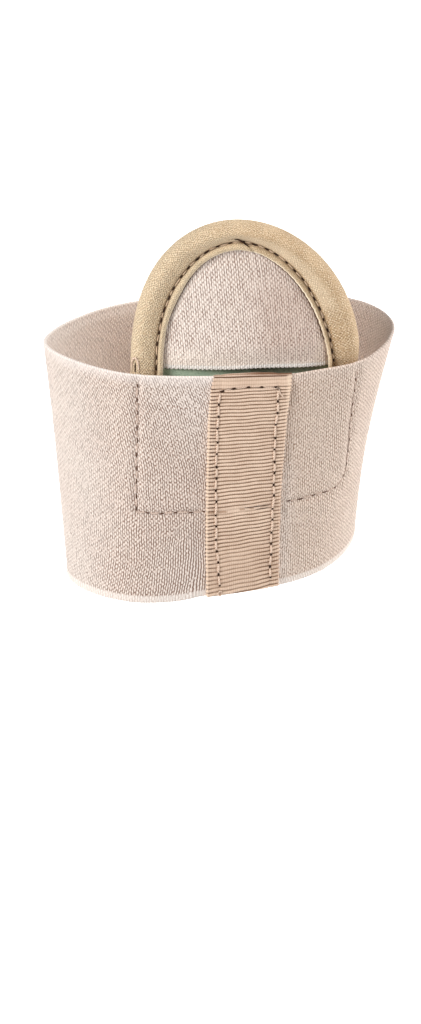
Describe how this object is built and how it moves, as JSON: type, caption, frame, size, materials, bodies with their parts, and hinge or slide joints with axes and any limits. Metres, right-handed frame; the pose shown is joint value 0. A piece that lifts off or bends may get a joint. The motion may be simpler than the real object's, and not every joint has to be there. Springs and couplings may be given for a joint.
{
  "type": "forefoot support bandage",
  "caption": "Elastic band looped round the forefoot, with a ribbed seam tape and a padded pocket on the sole side whose round front stands out past the band.",
  "frame": {"origin": "middle of the loop's hollow, half way between the band's rear and front edges, where the foot sits", "axes": "+Z along the loop towards its front edge, the way the toes point; -Y is the sole side, +Y the instep side and +X the medial side"},
  "size_m": [0.0865, 0.0626, 0.0952],
  "materials": {
    "webbing": "woven elastic webbing, pinkish beige with small dark holes between the threads and whitish selvedges",
    "ribbon": "peach grosgrain ribbon with cross ribs",
    "microfibre": "golden tan microfibre with a fine twill, rolled and stitched",
    "knit": "fine elastic knit, pale lilac pink with upright wales",
    "insert": "matt green soft insert"
  },
  "bodies": {
    "root": {"elastic_band": "webbing", "seam_tape": "ribbon", "pad_rim": "microfibre", "pad_cover": "knit", "pad_insert": "insert"}
  },
  "joints": []
}
